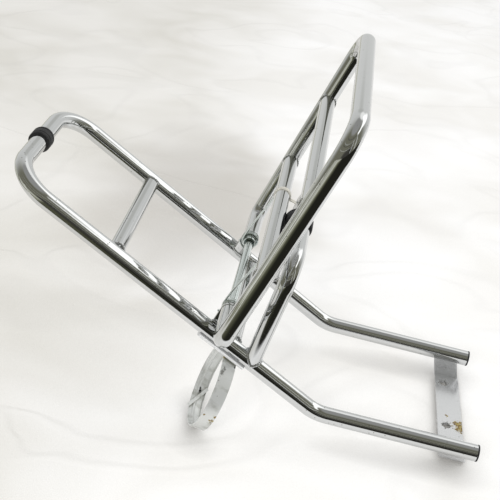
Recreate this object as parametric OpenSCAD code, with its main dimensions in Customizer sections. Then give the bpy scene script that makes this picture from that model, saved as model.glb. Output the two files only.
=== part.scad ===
// Motorcycle luggage rack with a carrier that folds up against its backrest bow.
// Millimetres. The frame is that of the mounting plate: +Y points out of the plate's
// mounting face, +Z up along the lower legs, and the origin lies on that face,
// midway between the two bolt holes.

/* [Tube] */
// Outside diameter of the frame and carrier tube
tube_d = 16; // [15:0.1:17]
// Wall thickness of every tube
tube_wall = 1.6; // [1.2:0.1:2]
// Outside diameter of the slats and cross braces
bar_d = 15; // [13:0.1:15.6]

/* [Main frame] */
// Distance between the centre lines of the two legs
leg_gap = 153; // [140:1:170]
// Height of the bow's centre line above the hinge, along the upper legs
bow_h = 222.5; // [190:0.5:250]
// Centre line radius of the bow's corners
bow_r = 36; // [28:1:48]
// Distance from the hinge down to the knee's corner
knee_drop = 126.7; // [115:0.1:150]
// Turn of the legs at the knee, in degrees
knee_turn = 28.8216; // [26:0.0001:32]
// Centre line radius of the knee
knee_r = 42; // [30:1:60]
// Length of the lower legs, from the knee's corner to the end of the tube
foot_l = 154; // [150:1:170]
// Height of the upper cross brace above the hinge
high_brace_h = 112.4; // [90:0.1:130]
// Drop of the lower cross brace below the hinge
low_brace_drop = 24; // [22:1:28]

/* [Mounting plate] */
// Width of the plate along the legs
plate_w = 25; // [22:1:26]
// Distance from the plate's lower edge to the end of the legs
plate_back = 3.2; // [2:0.1:6]
// Thickness of the plate
plate_t = 3; // [2:0.5:4]
// Distance from the legs' centre plane down to the plate's upper face
plate_drop = 20.3; // [18:0.1:24]
// Sideways lean of the plate's end flanges towards the knee
flange_rake = 6.4; // [0:0.1:8]
// Bolt hole diameter
hole_d = 8.4; // [6:0.1:9]
// Bolt hole spacing
hole_gap = 70; // [60:1:72]
// Sideways place of the middle of the two holes
hole_mid = 15.5; // [10:0.1:18]
// Distance from the plate's upper edge to the holes
hole_edge = 8.9; // [8:0.1:11]

/* [Carrier] */
// Distance between the centre lines of the carrier's sides
carrier_w = 248; // [236:1:260]
// Length of the carrier, from the hinge to the end tube's centre line
carrier_l = 225.8; // [224:0.1:230]
// Angle from the upper legs to the carrier when it is down
carrier_lean = 77.5; // [77:0.5:79]
// Centre line radius of the carrier's end corners
end_r = 27; // [22:1:36]
// Centre line radius of the carrier's hinge corners
hinge_r = 14; // [12:0.5:30]
// Place of the outer slat, from the hinge
slat_out = 149.6; // [140:0.1:160]
// Place of the inner slat, from the hinge
slat_in = 74.1; // [72:0.1:77]

/* [Hinge] */
// Height of the hinge axis above the legs' centre plane
hinge_h = 24.6; // [23:0.1:28]
// Thickness of the hinge ears
ear_t = 3.5; // [2.5:0.1:4]
// Radius of the ear around the hinge
ear_r = 8.5; // [8.3:0.1:9.4]
// Diameter of the hinge rod
rod_d = 8.2; // [7:0.1:8.8]
// Mouth diameter of the pivot bush
mouth_d = 10.4; // [9.4:0.1:10.8]
// How far the pivot bush reaches into the carrier's tube
bush_tail = 18; // [12:0.5:24]
// How far the pivot bush stands out of the ear
bush_out = 11; // [9:0.5:14]
// Sideways place where the left spring's arm meets the slat
spring_tip_left = 85; // [60:1:95]
// Sideways place where the right spring's arm meets the slat
spring_tip_right = 48; // [40:1:80]
// Sideways place of the strap on the inner slat
strap_x = 38; // [30:1:46]
// Reach of the strap's tail below the slat's centre
strap_tail = 15; // [12:0.5:16]
// Diameter of the spring wire
wire_d = 2; // [1.4:0.1:2.2]

/* [Support bow and buffers] */
// Drop of the support bow's feet below the hinge
support_drop = 47.8; // [46:0.1:50]
// Angle from the upper legs to the support bow
support_lean = 69.3; // [68:0.1:71]
// Length of the support bow, from the legs' centre plane to its cross tube
support_l = 109; // [104:1:112]
// Centre line radius of the support bow's corners
support_r = 25; // [20:1:32]
// How far the support buffer sits off its tube's centre, towards the slat
buffer_shift = 4.2; // [3:0.1:4.6]
// Air between the carrier and a buffer that it rests on
rest_gap = 0.3; // [0.2:0.05:0.4]
// Outside diameter of the bow's buffer
bow_buffer_d = 21; // [20:0.1:24]
// Width of both buffers
buffer_w = 16.5; // [12:0.5:20]

/* [Ring bracket] */
// Outside diameter of the ring
ring_d = 81.5; // [76:0.5:84]
// Width of the ring's band
ring_w = 13.3; // [11:0.1:16]
// Wall of the ring
ring_t = 1.8; // [1.2:0.1:2.5]
// Place of the ring's centre below the hinge, along the legs
ring_drop = 40.5; // [38:0.1:42]
// Lean of the ring's axis from the legs
ring_lean = 14; // [10:0.5:16]
// Sideways turn of the ring's axis
ring_turn = 7.3; // [0:0.1:12]
// Sideways place of the ring's centre from its leg
ring_side = 2; // [0:0.5:4]
// Width of the diagonal tongue inside the ring
tongue_w = 3.2; // [2:0.1:5]
// Length of the saddle that joins the ring to the leg
saddle_l = 52; // [44:1:56]
// Thickness of the saddle
saddle_t = 3; // [2:0.5:4]

/* [Hidden] */
$fn = 64;

leg_x = leg_gap / 2;
side_x = carrier_w / 2;
bore_d = tube_d - 2 * tube_wall;
bar_bore_d = bar_d - 2 * tube_wall;
support_d = tube_d - 0.2;
knee_t = knee_r * tan(knee_turn / 2);
mount_y = plate_drop + plate_t;
plate_start = foot_l - plate_back - plate_w;
hole_s = plate_start + hole_edge;
ear_out = leg_x - 4;
ear_in = ear_out - ear_t;
stub_end = ear_out + 0.3;
bush_r = bore_d / 2;
bush_in = ear_in - bush_out;
running_gap = 0.06;
coil_r = bush_r + wire_d / 2 + 0.25;
coil_x = ear_in - 0.4 - wire_d / 2;
saddle_top = 7.5;
slat_y = slat_in * cos(carrier_lean);
slat_z = hinge_h + slat_in * sin(carrier_lean);
support_y = support_l * cos(support_lean) - support_drop;
support_z = support_l * sin(support_lean);
buffer_aim = atan2(slat_z - support_z, slat_y - support_y);
buffer_reach = norm([slat_y - support_y, slat_z - support_z]) - bar_d / 2 - rest_gap;
ring_sunk = 0.9;
ring_z = ring_sunk - (tube_d / 2 + saddle_t) - ring_d / 2 * cos(ring_lean);
chrome = [0.78, 0.79, 0.8];
zinc = [0.66, 0.7, 0.69];
rubber = [0.04, 0.04, 0.045];

// Frames of reference

// The lower legs' frame: origin at the knee's corner, legs running down -Z
module at_knee() {
    translate([-hole_mid, -mount_y, hole_s]) children();
}

// The upper legs' frame: X across, +Y up the legs, +Z towards the carrier
module at_hinge() {
    at_knee() rotate([90 + knee_turn, 0, 0]) translate([0, knee_drop, 0]) children();
}

// The carrier's frame: origin on the hinge axis, +Y out along the carrier
module at_carrier() {
    at_hinge() translate([0, 0, hinge_h]) rotate([carrier_lean, 0, 0]) children();
}

// The support bow's frame: +Y out along its arms
module at_support() {
    at_hinge() translate([0, -support_drop, 0]) rotate([support_lean, 0, 0]) children();
}

// Shapes used more than once

// A straight round bar along X between two places
module bar_x(x1, x2, d) {
    translate([x1, 0, 0]) rotate([0, 90, 0]) cylinder(d = d, h = x2 - x1);
}

// A straight round bar along Y between two places
module bar_y(y1, y2, d) {
    translate([0, y1, 0]) rotate([-90, 0, 0]) cylinder(d = d, h = y2 - y1);
}

// A bend in the XY plane about the origin, from one angle to another
module bend(r, from, to, d) {
    rotate([0, 0, from]) rotate_extrude(angle = to - from) translate([r, 0]) circle(d = d);
}

// A U of round bar: arms along Y at both sides of X, corners, and a bar across at y
module u_bar(half, y0, y, r, d) {
    bar_x_at(-(half - r), half - r, y, d);
    translate([half - r, y - r, 0]) bend(r, 0, 90, d);
    translate([-(half - r), y - r, 0]) bend(r, 90, 180, d);
    for (s = [-1, 1]) translate([s * half, 0, 0]) bar_y(y0, y - r, d);
}

module bar_x_at(x1, x2, y, d) {
    translate([0, y, 0]) bar_x(x1, x2, d);
}

// The main tube's path in the upper legs' frame, as a solid bar of any diameter
module main_path(d, extra = 0) {
    u_bar(leg_x, -(knee_drop - knee_t), bow_h, bow_r, d);
    for (s = [-1, 1]) translate([s * leg_x, -(knee_drop - knee_t), knee_r]) {
        rotate([0, 90, 0]) bend(knee_r, -knee_turn, 0, d);
        rotate([-knee_turn, 0, 0]) translate([0, 0, -knee_r])
            bar_y(-(foot_l - knee_t + extra), 0, d);
    }
}

// The carrier loop's path in the carrier's frame
module carrier_path(d, extra = 0) {
    u_bar(side_x, hinge_r, carrier_l, end_r, d);
    for (s = [-1, 1]) mirror([s < 0 ? 1 : 0, 0, 0]) {
        translate([side_x - hinge_r, hinge_r, 0]) bend(hinge_r, -90, 0, d);
        bar_x(stub_end - extra, side_x - hinge_r, d);
    }
}

// A hollow cross tube along X whose ends are cut to sit on the tubes beside it
module cross_tube(half) {
    difference() {
        bar_x(-half, half, bar_d);
        bar_x(-half - 1, half + 1, bar_bore_d);
    }
}

// Half of a rubber buffer's section, with rounded shoulders and a shallow groove
module buffer_section(d) {
    r = d / 2;
    w = buffer_w / 2;
    round_r = 2.6;
    difference() {
        union() {
            translate([0, -w]) square([r - round_r, buffer_w]);
            translate([0, -w + round_r]) square([r, buffer_w - 2 * round_r]);
            for (s = [-1, 1]) translate([r - round_r, s * (w - round_r)]) circle(r = round_r);
        }
        for (s = [-1, 1]) translate([r + 0.5, s * (w - 4.6)]) circle(r = 1);
    }
}

// A rubber ring on a tube along X, its body moved sideways from the tube by shift
module rubber_ring(d, shift, on_d) {
    difference() {
        translate([0, shift, 0]) rotate([0, 90, 0]) rotate_extrude() buffer_section(d);
        bar_x(-buffer_w, buffer_w, on_d);
    }
}

// Vector help for the bent wires
function unit(v) = v / norm(v);
function direction(p, i) = unit(p[min(i + 1, len(p) - 1)] - p[max(i - 1, 0)]);
function square_to(n, t) = unit(n - (n * t) * t);
function normals(p, i, n) = i >= len(p) ? []
    : let (m = square_to(n, direction(p, i))) concat([m], normals(p, i + 1, m));

// A round wire of diameter d along a list of points
module wire(p, d, sides = 10) {
    ns = normals(p, 0, cross(direction(p, 0), unit([0.31, 0.52, 0.8])));
    rings = [for (i = [0 : len(p) - 1]) let (t = direction(p, i), u = ns[i], v = cross(t, u))
        for (k = [0 : sides - 1]) let (a = 360 * k / sides)
            p[i] + d / 2 * (cos(a) * u + sin(a) * v)];
    last = (len(p) - 1) * sides;
    sides_faces = [for (i = [0 : len(p) - 2]) for (k = [0 : sides - 1])
        let (a = i * sides + k, b = i * sides + (k + 1) % sides)
            [a, a + sides, b + sides, b]];
    caps = [[for (k = [0 : sides - 1]) k], [for (k = [sides - 1 : -1 : 0]) last + k]];
    polyhedron(rings, concat(sides_faces, caps), convexity = 6);
}

// Pieces of the frame

module main_frame_tube() {
    color(chrome) at_hinge() difference() {
        main_path(tube_d);
        main_path(bore_d, 1);
    }
}

module upper_cross_brace() {
    color(chrome) at_hinge() difference() {
        translate([0, high_brace_h, 0]) cross_tube(leg_x);
        main_path(tube_d);
    }
}

module lower_cross_brace() {
    color(chrome) at_hinge() difference() {
        translate([0, -low_brace_drop, 0]) cross_tube(leg_x);
        main_path(tube_d);
    }
}

module support_bow() {
    color(chrome) difference() {
        at_support() difference() {
            u_bar(leg_x, 0, support_l, support_r, support_d);
            u_bar(leg_x, -1, support_l, support_r, support_d - 2 * tube_wall);
        }
        at_hinge() main_path(tube_d);
    }
}

module bow_buffer() {
    color(rubber) at_hinge() translate([0, bow_h, 0]) rubber_ring(bow_buffer_d, 0, tube_d);
}

module support_buffer() {
    color(rubber) at_support() translate([0, support_l, 0])
        rotate([buffer_aim - support_lean, 0, 0])
            rubber_ring(2 * (buffer_reach - buffer_shift), buffer_shift, support_d);
}

module end_plug(side) {
    color(rubber) at_knee() translate([side * leg_x, 0, -foot_l]) {
        translate([0, 0, -1.6]) cylinder(d = tube_d, h = 1.6);
        cylinder(d = bore_d, h = 9);
    }
}

module end_plug_left() {
    end_plug(-1);
}

module end_plug_right() {
    end_plug(1);
}

// One end flange of the plate, its edges leaning towards the knee as they rise
module plate_flange(side) {
    x = leg_x - tube_d / 2;
    rise = plate_drop + plate_t - 2;
    bottom = -(plate_start + plate_w);
    mirror([side < 0 ? 1 : 0, 0, 0]) translate([x - plate_t, 0, 0])
        rotate([90, 0, 90]) linear_extrude(plate_t) polygon([
            [mount_y, bottom], [mount_y, bottom + plate_w],
            [mount_y - rise, bottom + plate_w + flange_rake],
            [mount_y - rise, bottom + flange_rake]
        ]);
}

module end_plate() {
    x = leg_x - tube_d / 2;
    fold_r = 4;
    color(chrome) at_knee() difference() {
        union() {
            translate([-x, plate_drop, -(plate_start + plate_w)]) cube([2 * x, plate_t, plate_w]);
            plate_flange(-1);
            plate_flange(1);
        }
        for (s = [-1, 1]) translate([hole_mid + s * hole_gap / 2, 0, -hole_s])
            rotate([-90, 0, 0]) cylinder(d = hole_d, h = mount_y + 1);
        for (s = [0, 1]) mirror([s, 0, 0]) translate([x - fold_r, mount_y - fold_r, -foot_l])
            difference() {
                cube([fold_r + 1, fold_r + 1, foot_l / 2]);
                translate([0, 0, -1]) cylinder(r = fold_r, h = foot_l / 2 + 2);
            }
    }
}

// The ear's outline in the YZ plane: a round head on a foot that spreads on the leg
module ear_outline() {
    hull() {
        translate([0, hinge_h]) circle(r = ear_r);
        translate([-11, 0]) square([16, 6]);
    }
}

module hinge_ear(side) {
    color(chrome) at_hinge() difference() {
        mirror([side < 0 ? 1 : 0, 0, 0]) translate([ear_in, 0, 0])
            rotate([90, 0, 90]) linear_extrude(ear_t) ear_outline();
        main_path(tube_d);
        translate([0, 0, hinge_h]) bar_x(-leg_x - 1, leg_x + 1, 2 * (bush_r + running_gap));
    }
}

module hinge_ear_left() {
    hinge_ear(-1);
}

module hinge_ear_right() {
    hinge_ear(1);
}

module leg_saddle() {
    color(chrome) at_hinge() difference() {
        translate([-leg_x, saddle_top - saddle_l, 0]) intersection() {
            bar_y(0, saddle_l, tube_d + 2 * saddle_t);
            translate([-tube_d / 2 - 0.5, -1, -tube_d]) cube([tube_d + 1, saddle_l + 2, tube_d * 0.7]);
        }
        main_path(tube_d);
        translate([0, -low_brace_drop, 0]) bar_x(-leg_x, leg_x, bar_d);
    }
}

// The ring's frame: its axis along Z, its smooth edge towards the plate
module at_ring() {
    at_hinge() translate([ring_side - leg_x, -ring_drop, ring_z])
        rotate([0, 0, ring_turn]) rotate([90 - ring_lean, 0, 0]) children();
}

module ring_bracket() {
    r = ring_d / 2;
    w = ring_w / 2;
    color(zinc) difference() {
        at_ring() rotate_extrude($fn = 96) polygon([
            [r - ring_t, -w], [r, -w], [r, w], [r - 2.6, w],
            [r - 2.6, w - 0.9], [r - 1.2, w - 0.9], [r - 1.2, -w + 6.5],
            [r - ring_t - 0.9, -w + 5], [r - ring_t - 0.9, -w + 4], [r - ring_t, -w + 3]
        ]);
        at_hinge() translate([-leg_x, 0, 0]) bar_y(-ring_drop - ring_d / 2, 0, tube_d + 2 * saddle_t);
    }
}

// A thin strip that lies slanting across the inside of the ring's far side
module ring_tongue() {
    r = ring_d / 2 - ring_t - 1;
    h = 3 * ring_w;
    color(zinc) at_ring() intersection() {
        difference() {
            cylinder(r = r, h = h, center = true);
            cylinder(r = r - 1, h = h + 1, center = true);
        }
        rotate([0, 0, 297]) translate([r - 3, 0, -1]) rotate([-57, 0, 0])
            translate([0, -tongue_w / 2, -ring_w]) cube([6, tongue_w, 2 * ring_w]);
    }
}

// Pieces of the carrier

module carrier_loop() {
    color(chrome) at_carrier() difference() {
        carrier_path(tube_d);
        carrier_path(bore_d, 1);
    }
}

module slat(y) {
    color(chrome) at_carrier() difference() {
        translate([0, y, 0]) cross_tube(side_x);
        carrier_path(tube_d);
    }
}

module outer_slat() {
    slat(slat_out);
}

module inner_slat() {
    slat(slat_in);
}

module pivot_bush(side) {
    color(zinc) at_carrier() mirror([side < 0 ? 1 : 0, 0, 0]) difference() {
        bar_x(bush_in, stub_end + bush_tail, 2 * bush_r);
        bar_x(bush_in - 1, stub_end + bush_tail + 1, rod_d);
        bar_x(bush_in - 1, bush_in + 8, mouth_d);
    }
}

module pivot_bush_left() {
    pivot_bush(-1);
}

module pivot_bush_right() {
    pivot_bush(1);
}

module hinge_rod() {
    color(zinc) at_carrier() bar_x(-stub_end - bush_tail + 2, stub_end + bush_tail - 2, rod_d);
}

// A spring's centre line in the carrier's frame: two turns, then a long arm to the slat.
// The arm leaves the coil on the load side and ends against the slat's near edge.
function spring_points(tip_x) =
    let (turns = 2, n = 48, pitch = wire_d + 0.3, z = -4.2)
    concat(
        [for (i = [0 : n]) let (a = 270 - 360 * turns * (n - i) / n)
            [coil_x - pitch * turns * i / n, coil_r * cos(a), coil_r * sin(a)]],
        [[coil_x - pitch * turns, 5, -coil_r],
         [tip_x, slat_in - sqrt(pow(bar_d / 2 + wire_d / 2, 2) - z * z), z]]
    );

module torsion_spring(side, tip_x) {
    color(zinc) at_carrier() mirror([side < 0 ? 1 : 0, 0, 0]) wire(spring_points(tip_x), wire_d);
}

module torsion_spring_left() {
    torsion_spring(-1, spring_tip_left);
}

module torsion_spring_right() {
    torsion_spring(1, spring_tip_right);
}

module slat_strap() {
    color([0.88, 0.85, 0.76]) at_carrier() translate([strap_x, slat_in, 0]) difference() {
        union() {
            bar_x(-2.2, 2.2, bar_d + 1.8);
            translate([-2.2, -0.5, 0]) cube([4.4, 1, strap_tail]);
        }
        bar_x(-3, 3, bar_d);
    }
}

main_frame_tube();
upper_cross_brace();
lower_cross_brace();
support_bow();
bow_buffer();
support_buffer();
end_plug_left();
end_plug_right();
end_plate();
hinge_ear_left();
hinge_ear_right();
leg_saddle();
ring_bracket();
ring_tongue();
carrier_loop();
outer_slat();
inner_slat();
pivot_bush_left();
pivot_bush_right();
hinge_rod();
torsion_spring_left();
torsion_spring_right();
slat_strap();
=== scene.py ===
"""Looks of a chromed motorcycle luggage rack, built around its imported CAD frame.

Lengths in the shape code are millimetres in one of the rack's own frames (legs, knee,
carrier, support bow, ring); each frame's matrix takes them to the model's metres.
"""

import math

import bpy
import numpy as np
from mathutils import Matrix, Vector


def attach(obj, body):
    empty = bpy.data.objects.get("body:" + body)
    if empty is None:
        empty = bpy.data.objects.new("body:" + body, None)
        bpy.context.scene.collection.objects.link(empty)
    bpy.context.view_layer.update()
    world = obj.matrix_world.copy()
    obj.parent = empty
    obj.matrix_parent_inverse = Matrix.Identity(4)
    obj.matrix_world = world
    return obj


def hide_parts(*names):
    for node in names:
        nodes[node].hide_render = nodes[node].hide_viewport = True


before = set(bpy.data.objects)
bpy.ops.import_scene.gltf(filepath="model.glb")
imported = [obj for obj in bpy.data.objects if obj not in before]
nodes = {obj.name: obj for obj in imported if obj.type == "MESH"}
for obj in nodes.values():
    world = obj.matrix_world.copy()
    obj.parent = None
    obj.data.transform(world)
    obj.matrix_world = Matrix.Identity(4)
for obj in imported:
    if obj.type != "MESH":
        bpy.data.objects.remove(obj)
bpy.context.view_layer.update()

# Sizes as in the CAD source: millimetres and degrees

TUBE = 8.0
BAR = 7.5
SUPPORT_TUBE = 7.9
LEG_X = 76.5
BOW_H = 222.5
BOW_R = 36.0
KNEE_DROP = 126.7
KNEE_TURN = 28.8216
KNEE_R = 42.0
FOOT_L = 154.0
MOUNT_Y = 23.3
PLATE_FACE = 20.3
HOLE_S = 134.7
HOLE_MID = 15.5
HOLE_GAP = 70.0
UPPER_BRACE = 112.4
LOWER_BRACE = -24.0
SIDE_X = 124.0
CARRIER_L = 225.8
CARRIER_LEAN = 77.5
END_R = 27.0
HINGE_R = 14.0
SLATS = (149.6, 74.1)
HINGE_H = 24.6
EAR_OUT = 72.5
EAR_T = 3.5
EAR_R = 8.5
EAR_FOOT = (-11.0, 5.0)
EAR_FOOT_H = 6.0
ROD = 4.1
BUSH = 6.4
BUSH_END = 58.0
BUSH_TAIL = 18.0
SPRING_TIPS = (85.0, 48.0)
WIRE = 1.0
COIL = BUSH + WIRE + 0.25
COIL_X = EAR_OUT - EAR_T - 0.4 - WIRE
SUPPORT_DROP = 47.8
SUPPORT_LEAN = 69.3
SUPPORT_L = 109.0
SUPPORT_R = 25.0
BUFFER_W = 8.25
BOW_BUFFER = 10.5
BUFFER_BORE = 3.4
BUFFER_SHIFT = 4.2
REST_GAP = 0.3
RING_R = 40.75
RING_HALF = 6.65
RING_T = 1.8
RING_DROP = 40.5
RING_LEAN = 14.0
RING_TURN = 7.3
RING_X = 2.0 - LEG_X
RING_SINK = 0.9
SADDLE_T = 3.0

# Sizes of what the render adds

TUBE_SIDES = 56
TURNED_SIDES = 72
BEAD_SIDES = 12
SEAM_STEPS = 120
BEND_STEP = 2.5
CUT_IN = 0.4
PAST_EAR = 0.3
CROSS_BEAD = 1.25
SUPPORT_BEAD = 1.3
EAR_BEAD = 1.0
EAR_BEAD_OUT = 0.2
EAR_EDGE = 0.7
EAR_SINK = 1.0
ROD_TAIL = 16.0
COIL_PITCH = 2.3
SHARP = 40.0


# Frames of reference

def turn_x(degrees):
    """4x4 turn about X."""
    c, s = math.cos(math.radians(degrees)), math.sin(math.radians(degrees))
    return np.array([[1, 0, 0, 0], [0, c, -s, 0], [0, s, c, 0], [0, 0, 0, 1]], float)


def turn_z(degrees):
    """4x4 turn about Z."""
    c, s = math.cos(math.radians(degrees)), math.sin(math.radians(degrees))
    return np.array([[c, -s, 0, 0], [s, c, 0, 0], [0, 0, 1, 0], [0, 0, 0, 1]], float)


def shift(x, y, z):
    """4x4 move."""
    m = np.eye(4)
    m[:3, 3] = (x, y, z)
    return m


KNEE = np.diag([0.001, 0.001, 0.001, 1.0]) @ shift(-HOLE_MID, -MOUNT_Y, HOLE_S)
LEGS = KNEE @ turn_x(90 + KNEE_TURN) @ shift(0, KNEE_DROP, 0)
CARRIER = LEGS @ shift(0, 0, HINGE_H) @ turn_x(CARRIER_LEAN)
SUPPORT = LEGS @ shift(0, -SUPPORT_DROP, 0) @ turn_x(SUPPORT_LEAN)
RING_Z = RING_SINK - (TUBE + SADDLE_T) - RING_R * math.cos(math.radians(RING_LEAN))
RING = LEGS @ shift(RING_X, -RING_DROP, RING_Z) @ turn_z(RING_TURN) @ turn_x(90 - RING_LEAN)


# Mesh help

def place(points, matrix):
    """Points of any grid shape carried by a 4x4 matrix."""
    p = np.asarray(points, float)
    return p @ matrix[:3, :3].T + matrix[:3, 3]


def unit(v):
    """Vectors scaled to length one."""
    return v / np.linalg.norm(v, axis=-1, keepdims=True)


def circle(steps):
    """Angles evenly round a full turn, the first not repeated."""
    return np.linspace(0, 2 * math.pi, steps, endpoint=False)


def grid_faces(rows, cols, wrap_rows):
    """Quads over a grid of points, each row closed round; with wrap_rows the last row
    joins the first too."""
    i, j = np.meshgrid(np.arange(rows if wrap_rows else rows - 1), np.arange(cols), indexing="ij")
    i2, j2 = (i + 1) % rows, (j + 1) % cols
    return np.stack([i * cols + j, i2 * cols + j, i2 * cols + j2, i * cols + j2], -1).reshape(-1, 4)


def shell(grid, wrap_rows=False):
    """(points, faces) of a grid of rings. Without wrap_rows each end ring is closed by a
    fan round its mean point."""
    rows, cols = grid.shape[:2]
    points = grid.reshape(-1, 3)
    faces = grid_faces(rows, cols, wrap_rows).tolist()
    if not wrap_rows:
        first, last = len(points), len(points) + 1
        points = np.vstack([points, grid[0].mean(0), grid[-1].mean(0)])
        j = np.arange(cols)
        k = (j + 1) % cols
        base = (rows - 1) * cols
        faces += np.stack([np.full(cols, first), j, k], -1).tolist()
        faces += np.stack([np.full(cols, last), base + k, base + j], -1).tolist()
    return points, faces


def volume(mesh):
    """Signed volume of a closed mesh: the sum of its triangles' tetrahedra, a . (b x c) / 6."""
    mesh.calc_loop_triangles()
    co = np.zeros(len(mesh.vertices) * 3)
    mesh.vertices.foreach_get("co", co)
    tri = np.zeros(len(mesh.loop_triangles) * 3, int)
    mesh.loop_triangles.foreach_get("vertices", tri)
    a, b, c = co.reshape(-1, 3)[tri.reshape(-1, 3)].transpose(1, 0, 2)
    return float(np.einsum("ij,ij->i", a, np.cross(b, c)).sum() / 6)


def piece(name, shells, matrix, body, material):
    """One object from a list of shells given in a frame's millimetres. Its faces point
    outwards, and edges that bend more than SHARP degrees stay sharp."""
    points, faces, start = [], [], 0
    for p, f in shells:
        points.append(np.asarray(p, float))
        faces += [[i + start for i in face] for face in f]
        start += len(p)
    mesh = bpy.data.meshes.new(name)
    mesh.from_pydata(place(np.vstack(points), matrix).tolist(), [], faces)
    mesh.update()
    if volume(mesh) < 0:
        mesh.flip_normals()
    mesh.shade_smooth()
    mesh.set_sharp_from_angle(angle=math.radians(SHARP))
    mesh.materials.append(material)
    obj = bpy.data.objects.new(name, mesh)
    bpy.context.scene.collection.objects.link(obj)
    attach(obj, body)
    return obj


def straight(start, end):
    """A line's two ends, and its direction at each."""
    ends = np.array([start, end], float)
    return ends, np.repeat(unit(ends[1] - ends[0])[None], 2, 0)


def arc(centre, radius, u, v, degrees):
    """A bend that starts on the axis u and turns towards v: centre + radius (cos a u + sin a v),
    and its directions -sin a u + cos a v."""
    a = np.radians(np.linspace(0, degrees, int(degrees / BEND_STEP) + 2))[:, None]
    u, v = np.array(u, float), np.array(v, float)
    points = np.array(centre, float) + radius * (np.cos(a) * u + np.sin(a) * v)
    return points, -np.sin(a) * u + np.cos(a) * v


def join_path(parts):
    """Lines and bends put end to end, each shared point kept once."""
    points = np.vstack([p if i == 0 else p[1:] for i, (p, _) in enumerate(parts)])
    ways = np.vstack([w if i == 0 else w[1:] for i, (_, w) in enumerate(parts)])
    return points, ways


def sweep(points, ways, radius, sides=TUBE_SIDES, up=(0, 0, 1)):
    """A round section carried along a path: centre + radius (cos a u + sin a v), where u
    is square to the path's direction and to up, and v to both."""
    ways = unit(ways)
    u = unit(np.cross(np.broadcast_to(np.array(up, float), ways.shape), ways))
    v = np.cross(ways, u)
    a = circle(sides)[None, :, None]
    return shell(points[:, None] + radius * (np.cos(a) * u[:, None] + np.sin(a) * v[:, None]))


def lathe(profile, axis="x", sides=TURNED_SIDES):
    """A closed list of (radius r, place s) carried round an axis: (s, r cos a, r sin a)
    round X, or (r cos a, r sin a, s) round Z."""
    r, s = np.array(profile, float).T[:, None]
    a = circle(sides)[:, None]
    along, across, up = s + 0 * a, r * np.cos(a), r * np.sin(a)
    return shell(np.stack((along, across, up) if axis == "x" else (across, up, along), -1), wrap_rows=True)


def rounded(corners, radius, steps=5):
    """A closed outline with each corner c replaced by (1 - t)^2 a + 2 t (1 - t) c + t^2 b,
    where a and b lie the radius away on its two sides, or 0.45 of a shorter side."""
    c = np.array(corners, float)
    before, after = np.roll(c, 1, 0), np.roll(c, -1, 0)
    limit = 0.45 * np.minimum(np.linalg.norm(c - before, axis=1), np.linalg.norm(after - c, axis=1))
    reach = np.minimum(radius, limit)[:, None]
    a, b = c + reach * unit(before - c), c + reach * unit(after - c)
    t = np.linspace(0, 1, steps)[None, :, None]
    curve = (1 - t) ** 2 * a[:, None] + 2 * t * (1 - t) * c[:, None] + t ** 2 * b[:, None]
    return curve.reshape(-1, 2)


# Shader help

def set_input(tree, socket, value):
    """An input linked to a socket, or set to a plain value."""
    if isinstance(value, bpy.types.NodeSocket):
        tree.links.new(value, socket)
    else:
        socket.default_value = value


def node(tree, kind, links=(), **settings):
    """A node with settings, and its inputs set or linked by name or number."""
    made = tree.nodes.new(kind)
    for key, value in settings.items():
        setattr(made, key, value)
    for key, value in links:
        set_input(tree, made.inputs[key], value)
    return made


def math_node(tree, operation, a, b=0.0, clamp=False):
    """One Math node's result."""
    return node(tree, "ShaderNodeMath", [(0, a), (1, b)], operation=operation, use_clamp=clamp).outputs[0]


def times(tree, a, b):
    """Two numbers multiplied."""
    return math_node(tree, "MULTIPLY", a, b)


def dot(tree, vector, axis):
    """How far a vector reaches along an axis."""
    made = node(tree, "ShaderNodeVectorMath", [(0, vector), (1, tuple(axis))], operation="DOT_PRODUCT")
    return made.outputs["Value"]


def noise(tree, point, scale, detail, distortion=0.0):
    """One Noise Texture's value."""
    links = [("Vector", point), ("Scale", scale), ("Detail", detail), ("Distortion", distortion)]
    return node(tree, "ShaderNodeTexNoise", links).outputs["Fac"]


def mapped(tree, point, **links):
    """A point through one Mapping node."""
    named = [(key.capitalize(), value) for key, value in links.items()]
    return node(tree, "ShaderNodeMapping", [("Vector", point)] + named).outputs[0]


def ramp(tree, value, low, high, bottom=0.0, top=1.0):
    """A straight rise from bottom at low to top at high, level beyond both."""
    links = [("Value", value), ("From Min", low), ("From Max", high), ("To Min", bottom), ("To Max", top)]
    return node(tree, "ShaderNodeMapRange", links).outputs[0]


def span(tree, value, low, high):
    """A smooth rise from nought at low to one at high."""
    links = [("Value", value), ("From Min", low), ("From Max", high)]
    return node(tree, "ShaderNodeMapRange", links, interpolation_type="SMOOTHSTEP").outputs[0]


def apart(tree, value, middle):
    """How far a value lies from a middle, to either side."""
    return math_node(tree, "ABSOLUTE", math_node(tree, "SUBTRACT", value, middle))


def stripe(tree, value, middle, half, core):
    """One where a value lies within half * core of the middle, falling to nought at half."""
    return ramp(tree, apart(tree, value, middle), half, half * core)


def open_sky(tree, distance):
    """The share of the sky that nothing hides within a distance."""
    return node(tree, "ShaderNodeAmbientOcclusion", [("Distance", distance)], samples=8).outputs["AO"]


def mix_colour(tree, factor, a, b):
    """Colour a turned to colour b by a factor."""
    return node(tree, "ShaderNodeMix", [(0, factor), (6, a), (7, b)], data_type="RGBA").outputs[2]


def mix_value(tree, factor, a, b):
    """Number a turned to number b by a factor."""
    return node(tree, "ShaderNodeMix", [(0, factor), (2, a), (3, b)]).outputs[0]


def mix_shader(tree, factor, a, b):
    """Shader a turned to shader b by a factor."""
    return node(tree, "ShaderNodeMixShader", [(0, factor), (1, a), (2, b)]).outputs[0]


# Shader groups shared by the finishes

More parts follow.
